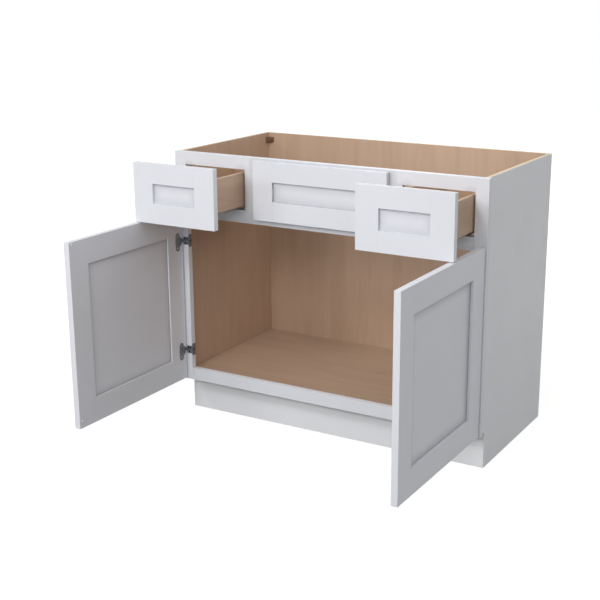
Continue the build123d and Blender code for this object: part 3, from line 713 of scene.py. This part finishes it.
class CABINET_OT_hinges(bpy.types.Operator):
    """Finish the concealed hinges in dark nickel and add their screws and springs"""
    bl_idname = "cabinet.hinges"
    bl_label = "Hinges"

    def execute(self, context):
        colours = context.scene.cabinet_colours
        sizes = context.scene.cabinet_sizes
        nickel = plated_steel("dark_nickel_plate", colours.nickel, roughness=0.45)
        bright = plated_steel("bright_steel", colours.screw, roughness=0.25)
        black = plated_steel("blackened_steel", colours.dark_screw, roughness=0.45)
        finish_nodes(["hinge_arms"], nickel, sizes.steel_edge)
        finish_nodes(["left_door_hinge_cups", "right_door_hinge_cups"], nickel, sizes.steel_edge)
        finish_nodes(["left_door_hinge_pins", "right_door_hinge_pins"], bright, sizes.pin_edge, segments=1)
        fixing = pan_head(sizes.fixing_screw, height=0.9 * MM)
        adjusting = pan_head(sizes.adjusting_screw, height=0.2 * MM)
        spring = as_pattern(turned([(r * MM, z * MM) for r, z in SPRING_PROFILE], SCREW_SEGMENTS))
        arm_screws = bmesh.new()
        for word, side in SIDES.items():
            low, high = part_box(word + "_door_hinge_cups")
            face_x = high.x if side < 0 else low.x
            screws = bmesh.new()
            springs = bmesh.new()
            for level in hinge_levels():
                for wing in (-WING, WING):
                    place = (face_x, low.y + CUP_TO_SCREWS, level + wing)
                    stamp(screws, fixing, place, (-side, 0, 0), turn=0.4)
                place = (face_x + side * SPRING_SINK, low.y + CUP_TO_SPRING, level)
                stamp(springs, spring, place, (0, 0, 1))
                for out, up, turn in PLATE_SCREWS:
                    stamp(arm_screws, adjusting, (side * out, PLATE_FRONT_Y, level + up), (0, -1, 0), turn)
                clip_x, clip_y = CLIP_SCREW
                stamp(arm_screws, adjusting, (side * clip_x, clip_y, level), (-side, 0, 0), turn=0.3)
            new_piece(word + "_door_hinge_screws", screws, bright, word + "_door")
            new_piece(word + "_door_hinge_springs", springs, bright, word + "_door")
        new_piece("hinge_arm_screws", arm_screws, black, "cabinet")
        return {"FINISHED"}


class CABINET_OT_slides(bpy.types.Operator):
    """Finish the undermount slides in zinc-plated steel and add the screws through their tabs"""
    bl_idname = "cabinet.slides"
    bl_label = "Drawer slides"

    def execute(self, context):
        colours = context.scene.cabinet_colours
        sizes = context.scene.cabinet_sizes
        zinc = plated_steel("zinc_plated_steel", colours.zinc, roughness=0.38, spangle=6 * MM)
        names = ["slide_cabinet_members"]
        for word in SIDES:
            names += [word + "_drawer_slide_rails", word + "_drawer_slide_middles"]
        finish_nodes(names, zinc, sizes.steel_edge, segments=1)
        steel = plated_steel("zinc_plated_screws", colours.screw, roughness=0.3)
        head = pan_head(sizes.fixing_screw, height=2.0 * MM)
        low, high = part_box("slide_cabinet_members")
        front_y = low.y + TAB_THICKNESS
        rear_y = high.y - TAB_THICKNESS
        screws = bmesh.new()
        for word in SIDES:
            rails_low, rails_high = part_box(word + "_drawer_slide_rails")
            for x in (rails_low.x + RAIL_HALF, rails_high.x - RAIL_HALF):
                for up, turn in FRONT_TAB_SCREWS:
                    stamp(screws, head, (x, front_y, low.z + up), (0, 1, 0), turn)
                stamp(screws, head, (x, rear_y, high.z - REAR_TAB_SCREW_DROP), (0, -1, 0), turn=0.5)
        new_piece("slide_screws", screws, steel, "cabinet")
        return {"FINISHED"}


class CABINET_OT_front_screws(bpy.types.Operator):
    """Add the screws that hold each drawer front to its box"""
    bl_idname = "cabinet.front_screws"
    bl_label = "Front screws"

    def execute(self, context):
        colours = context.scene.cabinet_colours
        steel = plated_steel("zinc_plated_front_screws", colours.screw, roughness=0.3)
        head = pan_head(context.scene.cabinet_sizes.fixing_screw, height=2.2 * MM)
        for word in SIDES:
            low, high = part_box(word + "_drawer_box_front")
            middle = (low.x + high.x) / 2
            screws = bmesh.new()
            for across, up, turn in FRONT_SCREWS:
                stamp(screws, head, (middle + across, high.y, low.z + up), (0, 1, 0), turn)
            new_piece(word + "_drawer_front_screws", screws, steel, word + "_drawer")
        return {"FINISHED"}


class CABINET_OT_corner_braces(bpy.types.Operator):
    """Finish the moulded corner braces and add the screws that hold them"""
    bl_idname = "cabinet.corner_braces"
    bl_label = "Corner braces"

    def execute(self, context):
        colours = context.scene.cabinet_colours
        sizes = context.scene.cabinet_sizes
        finish_nodes(["corner_braces"], moulded_nylon("moulded_brown_nylon", colours.brown), sizes.brace_edge)
        steel = plated_steel("bronzed_brace_screws", colours.bronze, roughness=0.4)
        head = pan_head(sizes.adjusting_screw, height=1.6 * MM)
        low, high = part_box("corner_braces")
        middle = (low.z + high.z) / 2
        screws = bmesh.new()
        for side in SIDES.values():
            for y, back in ((low.y, 1), (high.y, -1)):
                foot = Vector((side * (high.x - BRACE_REACH), y + back * BRACE_REACH, middle))
                facing = Vector((-side, back, 0)).normalized()
                slope = Vector((side, back, 0)).normalized()
                for shift, turn in BRACE_SCREWS:
                    stamp(screws, head, foot + slope * shift, facing, turn)
        new_piece("corner_brace_screws", screws, steel, "cabinet")
        return {"FINISHED"}


class CABINET_OT_bumpers(bpy.types.Operator):
    """Replace the flat door pads with domed milky bumpers"""
    bl_idname = "cabinet.bumpers"
    bl_label = "Door bumpers"

    def execute(self, context):
        radius = context.scene.cabinet_sizes.bumper_radius
        milky = soft_polyurethane("milky_polyurethane", context.scene.cabinet_colours.bumper)
        for word, side in SIDES.items():
            node = word + "_door_bumpers"
            low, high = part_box(node)
            height = high.x - low.x
            profile = [(share * radius, rise * height) for share, rise in DOME_PROFILE]
            dome = as_pattern(turned(profile, BUMPER_SEGMENTS))
            face_x = low.x if side < 0 else high.x
            pads = bmesh.new()
            for z in (low.z + radius, high.z - radius):
                stamp(pads, dome, (face_x, (low.y + high.y) / 2, z), (-side, 0, 0))
            piece = new_piece(word + "_door_bumper_domes", pads, milky, word + "_door")
            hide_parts(node)
        return {"FINISHED"}


class CABINET_OT_studio(bpy.types.Operator):
    """Set up the floor, the soft lights and the camera"""
    bl_idname = "cabinet.studio"
    bl_label = "Studio"

    def execute(self, context):
        scene = context.scene
        studio = scene.cabinet_studio
        scene.view_settings.view_transform = "Standard"
        add_floor(scene.cabinet_colours.floor, scene.cabinet_colours.floor_shadow)
        add_sky(scene, studio.sky, studio.zenith)
        for name, place, width, target in LAMPS:
            add_lamp(scene, name + "_light", place, width, target, getattr(studio, name + "_power"))
        add_camera(scene, studio)
        return {"FINISHED"}


class CABINET_PT_panel(bpy.types.Panel):
    """Lists the steps that dress the cabinet, and its settings"""
    bl_idname = "CABINET_PT_panel"
    bl_label = "Sink base cabinet"
    bl_space_type = "VIEW_3D"
    bl_region_type = "UI"
    bl_category = "Sink Base"

    def draw(self, context):
        for operator in OPERATORS:
            self.layout.operator(operator.bl_idname)
        scene = context.scene
        for group in (scene.cabinet_colours, scene.cabinet_sizes, scene.cabinet_studio):
            box = self.layout.box()
            for name in group.__annotations__:
                box.prop(group, name)


OPERATORS = (
    CABINET_OT_painted_parts,
    CABINET_OT_case_panels,
    CABINET_OT_drawer_boxes,
    CABINET_OT_hinges,
    CABINET_OT_slides,
    CABINET_OT_front_screws,
    CABINET_OT_corner_braces,
    CABINET_OT_bumpers,
    CABINET_OT_studio,
)
CLASSES = (CabinetColours, CabinetSizes, CabinetStudio, *OPERATORS, CABINET_PT_panel)


def register():
    for item in CLASSES:
        bpy.utils.register_class(item)
    bpy.types.Scene.cabinet_colours = PointerProperty(type=CabinetColours)
    bpy.types.Scene.cabinet_sizes = PointerProperty(type=CabinetSizes)
    bpy.types.Scene.cabinet_studio = PointerProperty(type=CabinetStudio)


def unregister():
    del bpy.types.Scene.cabinet_studio
    del bpy.types.Scene.cabinet_sizes
    del bpy.types.Scene.cabinet_colours
    for item in reversed(CLASSES):
        bpy.utils.unregister_class(item)


def main():
    register()
    for operator in OPERATORS:
        group, name = operator.bl_idname.split(".")
        getattr(getattr(bpy.ops, group), name)()
    for mesh in [m for m in bpy.data.meshes if m.users == 0]:
        bpy.data.meshes.remove(mesh)


if __name__ == "__main__":
    main()
